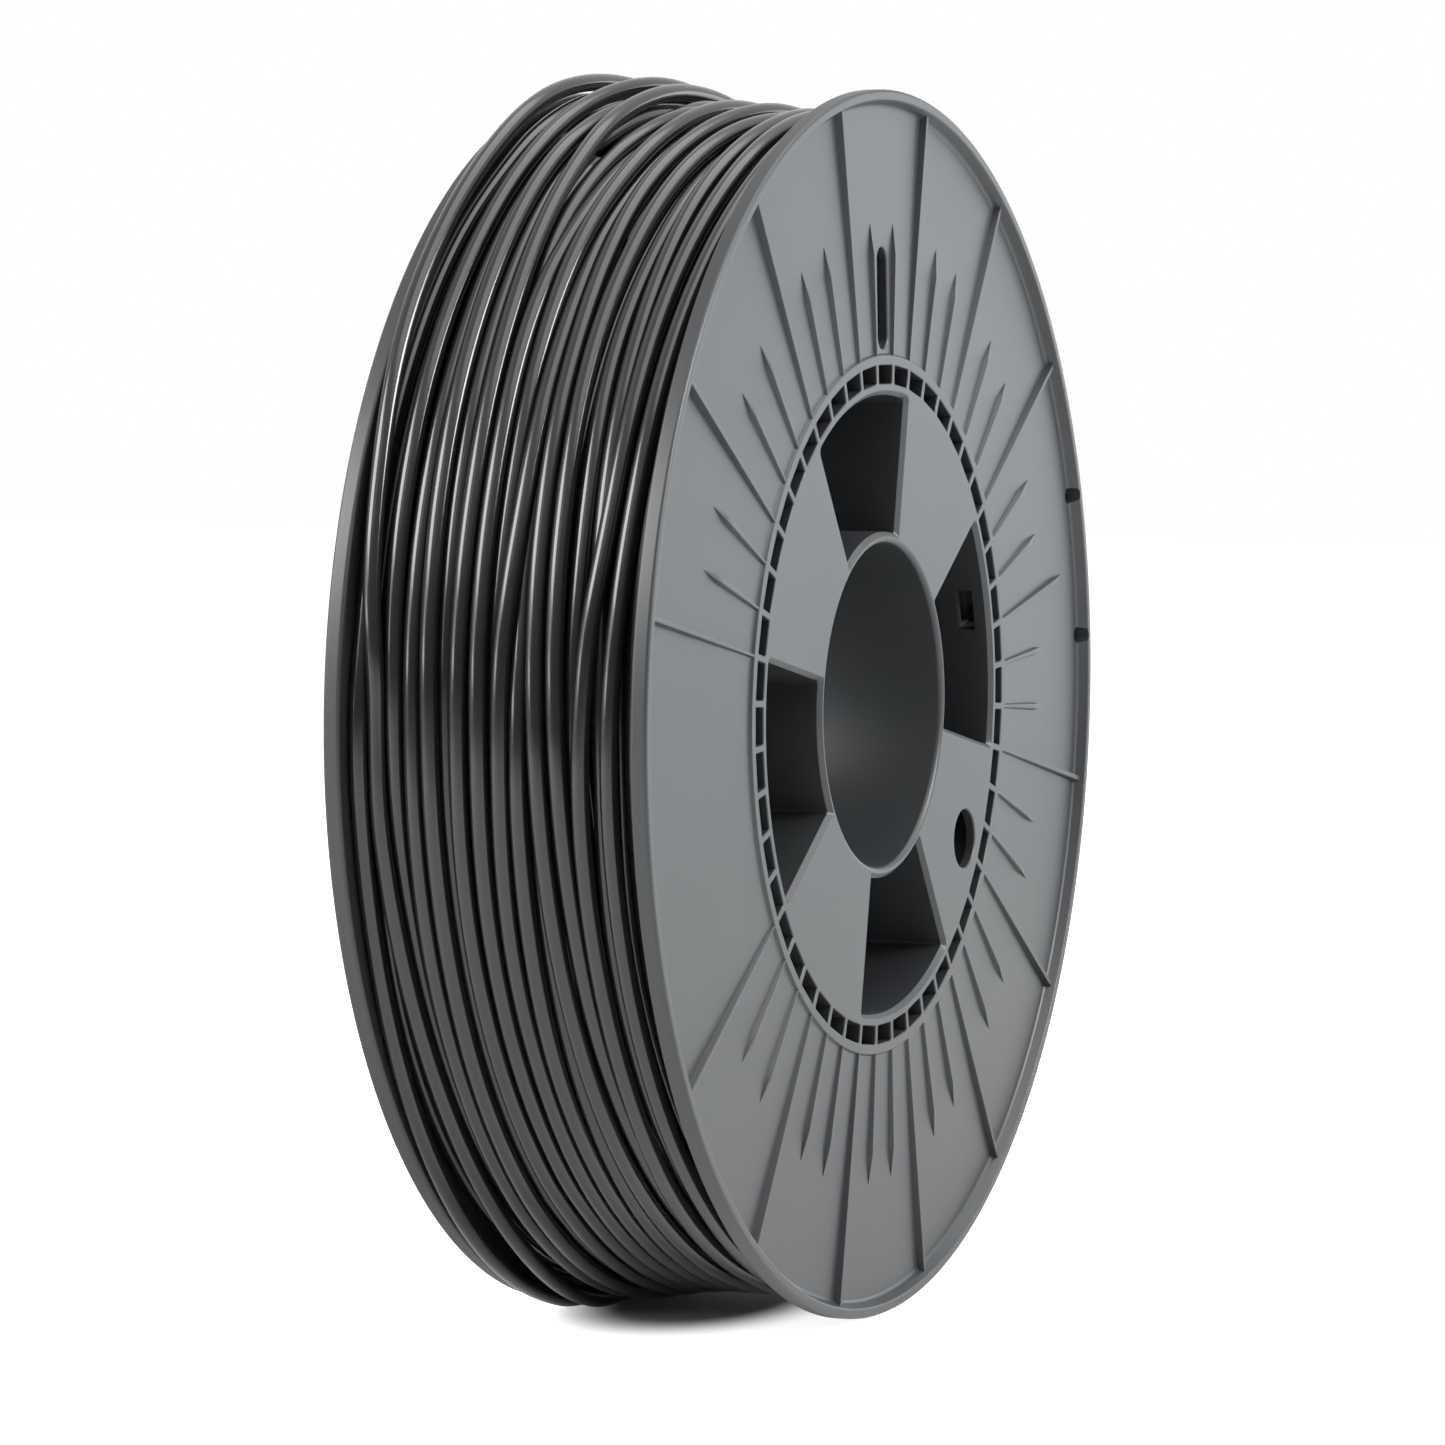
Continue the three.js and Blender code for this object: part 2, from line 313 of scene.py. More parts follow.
def halfBody():
    rimInner = spool["flangeRadius"] - spool["rimWidth"]
    foot = rimInner - spool["rimFoot"]
    drum = spool["drumRadius"]
    profile = roundedPath([
        (spool["boreRadius"], -spool["seam"], 0),
        (spool["boreRadius"], hubY, spool["mouthRound"]),
        (drum - spool["hubSlope"], hubY, spool["hubRound"]),
        (drum, plateFace(drum), spool["hubFootRound"]),
        (foot, plateFace(foot), spool["plateRound"]),
        (rimInner, faceY, spool["rimInnerRound"]),
        (spool["flangeRadius"], faceY, spool["rimOuterRound"]),
        (spool["flangeRadius"], windingY, spool["rimBackRound"]),
        (drum, windingY, spool["rootRound"]),
        (drum, -spool["seam"], 0),
    ])
    return turned("frontHalf", profile, spool["steps"])


ribs = {
    "start": 56.9 * mm,  # inside the hub's edge
    "behind": 0.4 * mm,  # plate left between a rib's foot and the winding
    "root": 0.75 * mm,
    "longEvery": 3,  # one rib in this many reaches the rim
    "longReach": 98.9 * mm,
    "longWidth": 1.4 * mm,
    "shortReach": 73.5 * mm,
    "shortWidth": 1.45 * mm,
    "tip": 5 * mm,
    "tipWidth": 0.06 * mm,
    "cutTip": 90 * mm,
    "bareField": 20,
    "tipHeight": 0.02 * mm,
    "crest": 0.62,  # the top's width, as a share of the foot's
    "crestRound": 0.12 * mm,
    "skin": 0.01 * mm,  # keeps the ribs' faces clear of the hub's and the plate's
}


# A bar along a radius, with sloping sides. Its width grows in proportion to the distance from the root,
# then it runs down to a point, where its top meets the plate.
def oneRib(angle, reach, width, tip):
    r = np.linspace(ribs["start"], reach, 12)
    if tip > reach:
        r = np.concatenate([r, np.linspace(reach, tip, 6)[1:]])
    stations = [ribs["start"], reach, max(tip, reach + mm)]
    foot = np.interp(r, stations, [ribs["root"] / 2, width / 2, ribs["tipWidth"] / 2])[:, None]
    low = np.interp(r, stations, [0, 0, 1])[:, None]
    plate = plateFace(r)[:, None]
    top = (hubY + ribs["skin"]) * (1 - low) + (plate - ribs["tipHeight"]) * low
    crest = foot * (ribs["crest"] + (1 - ribs["crest"]) * low)
    soft = np.minimum(ribs["crestRound"] * (1 - low) + 0.001 * mm, crest * 0.6)  # narrower than the top
    t = np.radians(np.linspace(0, 90, 3))
    side = np.concatenate([foot, foot, crest - soft * (1 - np.cos(t))], 1)
    bottom = windingY - ribs["behind"] + 0 * foot
    depth = np.concatenate([bottom, plate + ribs["skin"], top + soft * (1 - np.sin(t))], 1)
    side = np.concatenate([side, -side[:, ::-1]], 1)
    depth = np.concatenate([depth, depth[:, ::-1]], 1)
    flat = polar(r[:, None], angle, side)
    return np.stack([flat[..., 0], depth, flat[..., 1]], -1)


def allRibs():
    longRibs, shortRibs, cutRibs = [], [], []
    longWidth, shortWidth = ribs["longWidth"], ribs["shortWidth"]
    for i in range(round(360 / spool["pitch"])):
        turnedBy = i * spool["pitch"]
        angle = spool["symmetry"] + turnedBy
        if abs(turnedBy - 180) < ribs["bareField"]:
            continue
        if i == 0:
            cutRibs.append(oneRib(angle, ribs["cutTip"] - ribs["tip"], longWidth, ribs["cutTip"]))
        elif i % ribs["longEvery"] == 0:
            longRibs.append(oneRib(angle, ribs["longReach"], longWidth, 0))
        else:
            reach = ribs["shortReach"]
            shortRibs.append(oneRib(angle, reach, shortWidth, reach + ribs["tip"]))
    return [stacked("ribs", np.array(group)) for group in (longRibs, shortRibs, cutRibs)]


# A mouth is its chamfer, and the radius that softens the chamfer's edges.
holes = {
    "through": 28 * mm,  # depth that reaches past the joint
    "overcut": 1.5 * mm,  # how far a cutter stands out of the face
    "openingAngle": 45,
    "openingOuter": 50.6 * mm,
    "openingCorner": 0.5 * mm,
    "openingMouth": (0.75 * mm, 0.15 * mm),
    "windowInner": 52.45 * mm,
    "windowOuter": 55.5 * mm,
    "windowBar": 1.1 * mm,  # between two windows
    "windowCorner": 0.25 * mm,
    "windowMouth": (0.14 * mm, 0.1 * mm),
    "driveAt": 45 * mm,
    "driveRadius": 5 * mm,
    "gaugeAngle": 90,
    "gaugeReach": (60.15 * mm, 72.35 * mm),  # the middles of its round ends
    "gaugeRadius": 2.15 * mm,
    "plateMouth": (0.2 * mm, 0.12 * mm),
    "plateDepth": 3 * mm,
    "endAt": 97.3 * mm,
    "endRadius": 1.4 * mm,
    "endDepth": 6 * mm,
    "bossRadius": 2.6 * mm,
    "bossHeight": 0.75 * mm,  # of the ring round each end hole, on the winding side
    "bossFoot": 0.5 * mm,  # how deep in the flange it starts
    "anchorLength": 7 * mm,
    "anchorWidth": 3.1 * mm,
    "anchorInset": 0.75 * mm,  # from the flange
    "anchorCorner": 0.4 * mm,
    "anchorReach": (48 * mm, 60 * mm),
}


# Outlines of a hole at several depths under a face, each widened by its width. Depth runs into the part.
def mouthLevels(outline, depths, widths, faceOf):
    levels = []
    for depth, width in zip(depths, widths):
        flat = outline(width)
        y = faceOf(np.hypot(flat[:, 0], flat[:, 1])) + depth
        levels.append(np.stack([flat[:, 0], y, flat[:, 1]], -1))
    return np.array(levels)


# A hole whose wall is straight, then a chamfer with soft edges up to the face, then straight again.
def hole(outline, mouth, far, faceOf):
    chamfer, edge = mouth
    corners = [(far, 0, 0), (chamfer, 0, edge), (0, chamfer, edge), (0, chamfer + 2 * edge, 0)]
    path = roundedPath(corners, 4, closed=False)[:-1]
    path = np.concatenate([path, [[-holes["overcut"], path[-1, 1]]]])
    return mouthLevels(outline, path[:, 0], path[:, 1], faceOf)


# A ring's sector with its straight sides along radii. Widening moves all of its sides outwards.
def openingOutline(middle):
    half, corner = holes["openingAngle"] / 2, holes["openingCorner"]
    a = np.linspace(-half, half, 37)[1:-1]
    t = np.radians(np.linspace(0, 90, 5))[:, None]

    def outline(width):
        sides = []
        for radius, sign in ((holes["openingOuter"] + width, 1), (spool["tubeRadius"] - width, -1)):
            lift = corner + width if sign > 0 else corner
            trim = np.degrees((lift - width) / radius)
            arc = polar(radius, middle + np.clip(a, trim - half, half - trim))
            ends = []
            for end in (-1, 1):
                angle = middle + end * half
                along, across = polar(1.0, angle), polar(0.0, angle, 1.0)
                turn = sign * np.sin(t) * along + end * np.cos(t) * across
                ends.append(polar(radius - sign * lift, angle, end * (width - lift)) + lift * turn)
            keep = np.abs(a) < half - trim - 0.2
            side = np.concatenate([ends[0], arc[keep], ends[1][::-1]])
            sides.append(side if sign > 0 else side[::-1])
        return np.concatenate(sides)
    return outline


# A polygon, counter-clockwise, with rounded corners. Widening moves its sides outwards.
def polygonOutline(corners, radius):
    corners = np.array(corners)

    def outline(width):
        ahead = np.roll(corners, -1, 0) - corners
        ahead /= np.linalg.norm(ahead, axis=1)[:, None]
        normal = np.stack([ahead[:, 1], -ahead[:, 0]], -1)
        before = np.roll(normal, 1, 0)
        spread = (normal + before) / (1 + (normal * before).sum(1))[:, None]
        moved = corners + spread * width
        return roundedPath([(*p, radius + width) for p in moved], 3)
    return outline


# A slot along a radius with round ends, or a round hole where both ends are the same.
def slotOutline(inner, outer, angle, radius):
    def outline(width):
        t = np.linspace(-90, 90, 13)
        outerEnd = polar(outer, angle) + polar(radius + width, angle + t)
        innerEnd = polar(inner, angle) + polar(radius + width, angle + 180 + t)
        if inner == outer:
            outerEnd, innerEnd = outerEnd[:-1], innerEnd[:-1]
        return np.concatenate([outerEnd, innerEnd])
    return outline


def windowOutline(middle):
    inner, outer, bar = holes["windowInner"], holes["windowOuter"], holes["windowBar"] / 2
    low, high = middle - spool["pitch"] / 2, middle + spool["pitch"] / 2
    corners = [(inner, low, bar), (outer, low, bar), (outer, high, -bar), (inner, high, -bar)]
    return polygonOutline([polar(*corner) for corner in corners], holes["windowCorner"])


# The hollow behind the hub face, between two openings and a wall's thickness away from them.
def hollowOutline(middle):
    half = holes["openingAngle"] / 2
    arcs = []
    for radius, steps, sign in ((holes["openingOuter"], 6, 1), (spool["tubeRadius"], 4, -1)):
        wall = degrees(spool["sideWall"] / radius)
        arcs.append(polar(radius, middle + sign * np.linspace(wall - half, half - wall, steps + 1)))
    return lambda width: np.concatenate(arcs)


# A round bar along the axis at each of the two holes for the filament's end.
def endBars(radius, start, end):
    bars = []
    for side in (-1, 1):
        angle = spool["symmetry"] + side * spool["pitch"]
        outline = slotOutline(holes["endAt"], holes["endAt"], angle, radius)
        bars.append(mouthLevels(outline, [end, start], [0, 0], rimFace))
    return bars


def halfCutters():
    symmetry, pitch, far = spool["symmetry"], spool["pitch"], holes["through"]
    quarters = [symmetry + 90 * k for k in range(4)]
    middles = [symmetry + (k + 0.5) * pitch for k in range(round(360 / pitch))]
    openings = [hole(openingOutline(a), holes["openingMouth"], far, hubFace) for a in quarters]
    windows = [hole(windowOutline(a), holes["windowMouth"], far, hubFace) for a in middles]
    betweenOpenings = symmetry - 45
    drive = slotOutline(holes["driveAt"], holes["driveAt"], betweenOpenings, holes["driveRadius"])
    gauge = slotOutline(*holes["gaugeReach"], holes["gaugeAngle"], holes["gaugeRadius"])
    driveHole = hole(drive, holes["plateMouth"], holes["plateDepth"], hubFace)
    gaugeSlot = hole(gauge, holes["plateMouth"], holes["plateDepth"], plateFace)
    endHoles = endBars(holes["endRadius"], -mm, holes["endDepth"])
    depths = [spool["hubFace"], far]
    hollows = [mouthLevels(hollowOutline(a + 45), depths, [0, 0], hubFace) for a in quarters]
    groups = (openings, windows, [driveHole], [gaugeSlot], endHoles, hollows)
    return [stacked("cutter", np.array(group)) for group in groups]


# A rounded slot through the drum wall, beside the flange.
def anchorCutter():
    angle = spool["symmetry"] + spool["pitch"] / 2
    low, half, corner = windingY + holes["anchorInset"], holes["anchorLength"] / 2, holes["anchorCorner"]
    high = low + holes["anchorWidth"]
    corners = [(low, -half, corner), (high, -half, corner), (high, half, corner), (low, half, corner)]
    outline = roundedPath(corners, 4)
    levels = []
    for radius in holes["anchorReach"]:
        flat = polar(radius, angle, outline[:, 1])
        levels.append(np.stack([flat[:, 0], outline[:, 0], flat[:, 1]], -1))
    return stacked("cutter", np.array([levels]))


def finishHalf(piece, material):
    piece.data.materials.clear()
    piece.data.materials.append(material)
    piece.data.shade_smooth()
    piece.data.set_sharp_from_angle(angle=radians(32))
    weighted = piece.modifiers.new("even shading", "WEIGHTED_NORMAL")
    weighted.keep_sharp = True
    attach(piece, "root")


# Half a turn about the symmetry line: each point goes to its mirror image across that line.
def turnedOver(piece, name):
    other = bpy.data.objects.new(name, piece.data.copy())
    bpy.context.scene.collection.objects.link(other)
    points = np.empty(len(other.data.vertices) * 3)
    other.data.vertices.foreach_get("co", points)
    points = points.reshape(-1, 3)
    a = radians(spool["symmetry"])
    axis = np.array([cos(a), 0, sin(a)])
    points = 2 * (points @ axis)[:, None] * axis - points
    other.data.vertices.foreach_set("co", points.ravel())
    other.data.update()
    return other


def spoolHalves(material):
    front = halfBody()
    faceOutwards(front)
    thickness = spool["flangeThickness"]
    bosses = endBars(holes["bossRadius"], thickness - holes["bossFoot"], thickness + holes["bossHeight"])
    for extra in allRibs() + [stacked("bosses", np.array(bosses))]:
        faceOutwards(extra)
        combine(front, extra, "UNION")
    for cutter in halfCutters() + [anchorCutter()]:
        faceOutwards(cutter)
        combine(front, cutter, "DIFFERENCE")
    rear = turnedOver(front, "rearHalf")
    finishHalf(front, material)
    finishHalf(rear, material)
    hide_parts("front_spool_half")
    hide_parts("rear_spool_half")
    print("spool halves:", len(front.data.polygons), "faces each")


winding = {
    "diameter": 2.85 * mm,
    "radius": 95.45 * mm,  # of a top turn's middle, where the winding is tight
    "sides": 16,
    "stepsPerTurn": 240,
    "looseAbove": 4.9 * mm,  # how far the loose turns by the rear flange stand off at the top
    "looseBelow": 2.3 * mm,
    "drawnIn": 0.2 * mm,  # how far they lie in at the sides
    "tightAt": -4 * mm,  # turns this near to the front flange and nearer are tight all round
    "looseAt": 13 * mm,
    "sideways": 22.45 * mm,  # furthest place of a strand's middle, beside the flange
    "lowerTurns": 16,
    "lowerSunk": 2.7 * mm,
    "lowerSides": 10,
    "coreRadius": 89.3 * mm,
    "coreSteps": 144,
    "drumGap": 0.05 * mm,
}

# Places of the outer turns in mm along the axis, from the rear flange to the front one, at these angles,
# and how far each is sunk between its neighbours there.
turnAngles = [72, 92, 106, 120, 130, 140, 160, 180, 200, 220, 240, 260]
turns = [
    ([20.8, 20.8, 21.3, 21.6, 21.9, 22.1, 22.4, 22.4, 22.4, 22.4, 22.4, 22.4],
     [1.0, 1.0, 1.6, 2.5, 2.1, 1.8, 1.0, -0.9, -0.5, -1.4, -2.3, -2.3]),
    ([22.4, 22.4, 22.4, 22.4, 22.4, 22.4, 21.2, 20.5, 18.3, 16.9, 16.6, 17.8],
     [-1.6, -1.6, -2.3, -2.0, -2.3, -2.6, -1.6, -0.2, 0.0, -0.3, -1.1, -2.1]),
    ([14.4, 14.4, 16.0, 16.6, 16.9, 17.3, 17.5, 17.2, 16.7, 16.0, 15.8, 15.5],
     [-1.0, -1.0, -0.5, 0.0, 0.0, 0.0, 0.2, 1.0, 2.2, 2.6, 2.6, 2.6]),
    ([13.5, 13.5, 14.6, 15.3, 14.9, 14.6, 14.4, 13.9, 13.3, 12.5, 11.9, 11.5],
     [2.8, 2.8, 2.7, 2.6, 2.4, 2.2, 1.2, 0.4, 0.1, 0.0, 0.0, 0.0]),
    ([11.0, 11.0, 11.9, 11.9, 11.9, 11.8, 11.2, 10.4, 9.8, 9.5, 9.2, 8.8],
     [2.4, 2.4, 0.8, 0.0, 0.0, 0.0, 0.0, 0.0, 0.0, 0.0, 0.0, 0.0]),
    ([8.0, 8.0, 9.4, 10.6, 10.0, 9.4, 8.9, 8.8, 8.3, 7.8, 7.5, 6.9],
     [2.9, 2.9, 2.6, 2.0, 1.8, 1.5, 1.3, 1.5, 1.6, 1.6, 1.5, 1.3]),
    ([9.2, 9.2, 8.9, 8.2, 7.7, 7.1, 6.4, 6.2, 6.1, 5.4, 4.6, 4.3],
     [-0.3, -0.3, -0.3, 0.0, 0.0, 0.0, 0.0, 0.0, 0.0, 0.0, 0.0, 0.0]),
    ([6.0, 6.0, 6.8, 7.7, 7.7, 7.3, 7.4, 7.5, 7.0, 6.5, 6.0, 5.5],
     [1.9, 1.9, 3.0, 3.9, 4.1, 4.1, 3.8, 4.3, 4.3, 4.3, 4.3, 4.3]),
    ([4.4, 4.4, 4.9, 6.2, 6.1, 5.5, 5.1, 5.2, 5.0, 4.4, 3.4, 2.6],
     [1.5, 1.5, 1.6, 2.2, 2.4, 2.4, 2.3, 2.6, 2.9, 3.2, 2.8, 2.7]),
    ([1.6, 1.6, 2.3, 3.1, 3.6, 3.5, 3.0, 2.5, 2.7, 2.3, 1.3, 0.7],
     [2.2, 2.2, 1.6, 1.3, 0.6, 0.2, 0.0, 0.0, 0.0, 0.0, 0.0, 0.0]),
    ([0.0, 0.0, 0.2, 0.6, 1.4, 1.5, 1.3, 1.5, 1.5, 0.9, -0.2, -1.0],
     [-1.1, -1.1, -0.8, -0.2, -0.4, 0.1, 1.2, 1.9, 2.2, 2.3, 2.4, 2.4]),
    ([-3.6, -3.6, -1.8, -0.7, -1.1, -1.6, -1.9, -0.9, -0.3, -0.9, -1.8, -2.6],
     [1.6, 1.6, 1.6, 1.6, 1.1, 0.5, 0.0, 0.0, 0.0, 0.0, 0.0, 0.0]),
    ([-3.0, -3.0, -2.8, -2.8, -2.8, -2.9, -2.9, -3.7, -3.8, -3.8, -4.2, -4.8],
     [2.9, 2.9, 2.9, 2.9, 2.8, 2.8, 2.3, 1.0, 0.3, 0.1, 0.1, 0.0]),
    ([-5.4, -5.4, -5.2, -5.0, -5.0, -4.9, -4.8, -4.8, -5.1, -6.0, -6.9, -7.8],
     [2.9, 2.9, 2.9, 2.9, 2.8, 2.8, 2.8, 2.4, 1.9, 0.9, 0.3, 0.0]),
    ([-6.1, -6.1, -4.2, -3.5, -3.9, -4.3, -5.3, -6.7, -7.8, -9.0, -10.4, -11.6],
     [-1.2, -1.2, -0.5, 0.0, 0.0, 0.0, 0.0, 0.0, 0.0, 0.0, 0.0, 0.0]),
    ([-9.8, -9.8, -8.4, -7.7, -7.6, -7.5, -8.6, -10.0, -11.4, -12.6, -13.0, -14.2],
     [0.4, 0.4, 0.1, 0.0, 0.0, 0.0, 0.0, 0.1, 0.5, 1.3, 2.2, 2.4]),
    ([-12.6, -12.6, -11.5, -10.8, -10.7, -10.5, -11.7, -11.9, -12.5, -13.6, -15.0, -16.4],
     [2.0, 2.0, 1.8, 1.6, 1.5, 1.4, 1.7, 2.4, 2.8, 2.9, 2.9, 2.9]),
    ([-13.4, -13.4, -13.2, -13.2, -13.6, -13.9, -14.6, -16.5, -16.3, -16.8, -17.8, -18.6],
     [0.3, 0.3, 0.3, 0.4, 0.6, 0.8, 1.8, 2.3, 2.0, 1.9, 1.8, 1.6]),
    ([-16.0, -16.0, -16.8, -17.1, -16.9, -16.7, -16.2, -14.0, -14.0, -14.3, -15.0, -17.0],
     [0.0, 0.0, 0.0, 0.0, 0.0, 0.0, 0.0, 0.0, 0.0, 0.0, 0.0, 0.0]),
    ([-20.0, -20.0, -21.0, -21.2, -20.8, -20.4, -19.8, -18.7, -18.7, -19.0, -19.4, -20.4],
     [0.0, 0.0, 0.0, 0.0, 0.0, 0.0, 0.0, 0.0, 0.0, 0.0, 0.0, 0.0]),
]

# Where each turn becomes the next one, at 0 degrees, in mm as well. The turns lie evenly there.
turnEnds = {
    "furthest": 22.4,  # place of the first turn and, with its sign changed, of the last
    "sunk": 1.3,  # of every second turn
    "endSunk": 3.0,  # of the strand's two ends
}


def smoothStep(x, low, high):
    t = np.clip((x - low) / (high - low), 0, 1)
    return t * t * (3 - 2 * t)


# A smooth curve through the values: a cubic between each two knots, with the slope of their neighbours.
def smoothCurve(knots, values, x):
    slopes = np.gradient(values, knots)
    i = np.clip(np.searchsorted(knots, x) - 1, 0, len(knots) - 2)
    h = knots[i + 1] - knots[i]
    t = (x - knots[i]) / h
    ends = (1 + 2 * t) * (1 - t) ** 2 * values[i] + t * t * (3 - 2 * t) * values[i + 1]
    return ends + t * (1 - t) ** 2 * h * slopes[i] + t * t * (t - 1) * h * slopes[i + 1]


# How far the winding stands off: the turns by the rear flange are oval, higher above than below.
def looseness(y, angle):
    share = smoothStep(y, winding["tightAt"], winding["looseAt"])
    rise = np.sin(np.radians(angle))
    above, below = np.maximum(rise, 0), np.maximum(-rise, 0)
    return share * (winding["looseAbove"] * above + winding["looseBelow"] * below - winding["drawnIn"])


# Places along the axis and radii of the outer turns: a row for each turn, a column for each step round.
def outerTargets(angle):
    count, steps = len(turns), winding["stepsPerTurn"]
    between = np.linspace(turnEnds["furthest"], -turnEnds["furthest"], count + 1)
    knots, places, depths = [0], [between[0]], [turnEnds["endSunk"]]
    for k, (along, sunk) in enumerate(turns):
        knots += [360 * k + a for a in turnAngles] + [360 * (k + 1)]
        places += along + [between[k + 1]]
        depths += sunk + [turnEnds["sunk"] * (k % 2)]
    depths[-1] = turnEnds["endSunk"]
    knots, total = np.array(knots, float), np.arange(count * steps) * 360 / steps
    y = smoothCurve(knots, np.array(places), total).reshape(count, steps) * mm
    depth = smoothCurve(knots, np.array(depths), total).reshape(count, steps) * mm
    return y, winding["radius"] - depth + looseness(y, angle)


# Each turn's row as one running strand, moved a little towards the middle of its neighbours along it.
def smoothed(rows, share):
    flat = rows.ravel()
    middle = (np.roll(flat, 1) + np.roll(flat, -1)) / 2
    middle[0], middle[-1] = flat[0], flat[-1]
    return (flat + share * (middle - flat)).reshape(rows.shape)


settling = {
    "rounds": 70,
    "calm": (12, 2),  # rounds before the end: the drawing back starts to fade, and has stopped
    "gap": 0.03 * mm,  # between two strands
    "push": 0.6,  # share of an overlap that one round mends
    "smoothing": 0.25,
    "hold": 0.05,  # how far a round draws an outer turn back to its place
    "tableHold": 0.2,  # the same, added at the angles of the table
    "tableStart": (70, 92),
    "tableEnd": (250, 275),
    "lowerHold": 0.06,
    "outerYield": 0.12,  # how readily an outer turn gives way, where a lower one has 1
    "outerRise": 9 * mm,  # how far a turn may be pushed out of its place, away from the axis
    "lowerRise": 0.1 * mm,
    "floorGap": 0.1 * mm,
}


# Strands that overlap are pushed apart along the line between their middles, the lower ones further,
# while each is drawn back towards its own place.
def settleStrands():
    outer, lower, steps = len(turns), winding["lowerTurns"], winding["stepsPerTurn"]
    angle = np.arange(steps) * 360 / steps
    outerY, outerRadius = outerTargets(angle)
    along = np.arange(lower * steps).reshape(lower, steps) / (lower * steps)
    lowerY = winding["sideways"] * (1 - 2 * along)
    lowerRadius = winding["radius"] - winding["lowerSunk"] + looseness(lowerY, angle)
    wantedY = np.concatenate([outerY, lowerY])
    wantedRadius = np.concatenate([outerRadius, lowerRadius])
    y, radius = wantedY.copy(), wantedRadius.copy()

    inTable = smoothStep(angle, *settling["tableStart"]) * (1 - smoothStep(angle, *settling["tableEnd"]))
    outerHold = np.tile(settling["hold"] + settling["tableHold"] * inTable, (outer, 1))
    hold = np.concatenate([outerHold, np.full((lower, steps), settling["lowerHold"])])
    yielding = np.repeat([settling["outerYield"], 1], [outer, lower])[:, None, None]
    share = yielding / (yielding + yielding[:, 0][None])
    room = winding["diameter"] + settling["gap"]
    floorDepth = -floorZ - winding["diameter"] / 2 - settling["floorGap"]
    overFloor = floorDepth / np.maximum(-np.sin(np.radians(angle)), 0.01)
    rise = np.repeat([settling["outerRise"], settling["lowerRise"]], [outer, lower])[:, None]
    highest = np.minimum(wantedRadius + rise, overFloor)

    calmStart, calmEnd = (settling["rounds"] - left for left in settling["calm"])
    for step in range(settling["rounds"]):
        fade = 1 - smoothStep(step, calmStart, calmEnd)
        y += fade * hold * (wantedY - y)
        radius += fade * hold * (wantedRadius - radius)
        apartY, apartRadius = y[:, None] - y[None], radius[:, None] - radius[None]
        apart = np.hypot(apartY, apartRadius) + 1e-9
        push = np.clip(room - apart, 0, None) / apart * share * settling["push"]
        y += (push * apartY).sum(1)
        radius += (push * apartRadius).sum(1)
        y = np.clip(y, -winding["sideways"], winding["sideways"])
        radius = np.minimum(radius, highest)
        for group in (slice(0, outer), slice(outer, None)):
            y[group] = smoothed(y[group], settling["smoothing"])
            radius[group] = smoothed(radius[group], settling["smoothing"])
    return angle, (y[:outer], radius[:outer]), (y[outer:], radius[outer:])


# A round tube along a route about the axis: its section stands across the route at each step.
def strand(name, angle, y, radius, material, sides):
    a, y, radius = np.radians(np.tile(angle, len(y))), y.ravel(), radius.ravel()
    radial = np.stack([np.cos(a), 0 * a, np.sin(a)], -1)
    centre = radial * radius[:, None] + np.array([0, 1, 0]) * y[:, None]
    ahead = np.gradient(centre, axis=0)
    ahead /= np.linalg.norm(ahead, axis=1)[:, None]
    across = np.cross(ahead, radial)
    across /= np.linalg.norm(across, axis=1)[:, None]
    out = np.cross(across, ahead)
    t = (np.arange(sides) * 2 * pi / sides)[None, :, None]
    section = np.cos(t) * out[:, None] + np.sin(t) * across[:, None]
    points = centre[:, None] + winding["diameter"] / 2 * section
    rows = len(centre)
    faces = gridFaces(rows, sides)
    faces.append(list(range(sides - 1, -1, -1)))
    faces.append(list(range((rows - 1) * sides, rows * sides)))
    piece = addPiece(name, points, faces, material)
    faceOutwards(piece)
    piece.data.shade_smooth()
    return piece


def woundFilament(material):
    angle, outer, (lowerY, lowerRadius) = settleStrands()
    side = winding["sideways"] + winding["diameter"] / 2
    drum, crest = spool["drumRadius"] + winding["drumGap"], winding["coreRadius"]
    ring = [(drum, -side, 0), (drum, side, 0), (crest, side, 0), (crest, -side, 0)]
    core = turned("innerTurns", roundedPath(ring), winding["coreSteps"])
    faceOutwards(core)
    core.data.materials.append(material)
    second = slice(None, None, 2)  # the lower turns need only every second step
    lower = lowerY[:, second], lowerRadius[:, second]
    pieces = [
        strand("outerTurns", angle, *outer, material, winding["sides"]),
        strand("lowerTurns", angle[second], *lower, material, winding["lowerSides"]),
        core,
    ]
    for piece in pieces:
        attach(piece, "root")
        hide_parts("wound_filament")
    print("filament:", sum(len(piece.data.polygons) for piece in pieces), "faces")


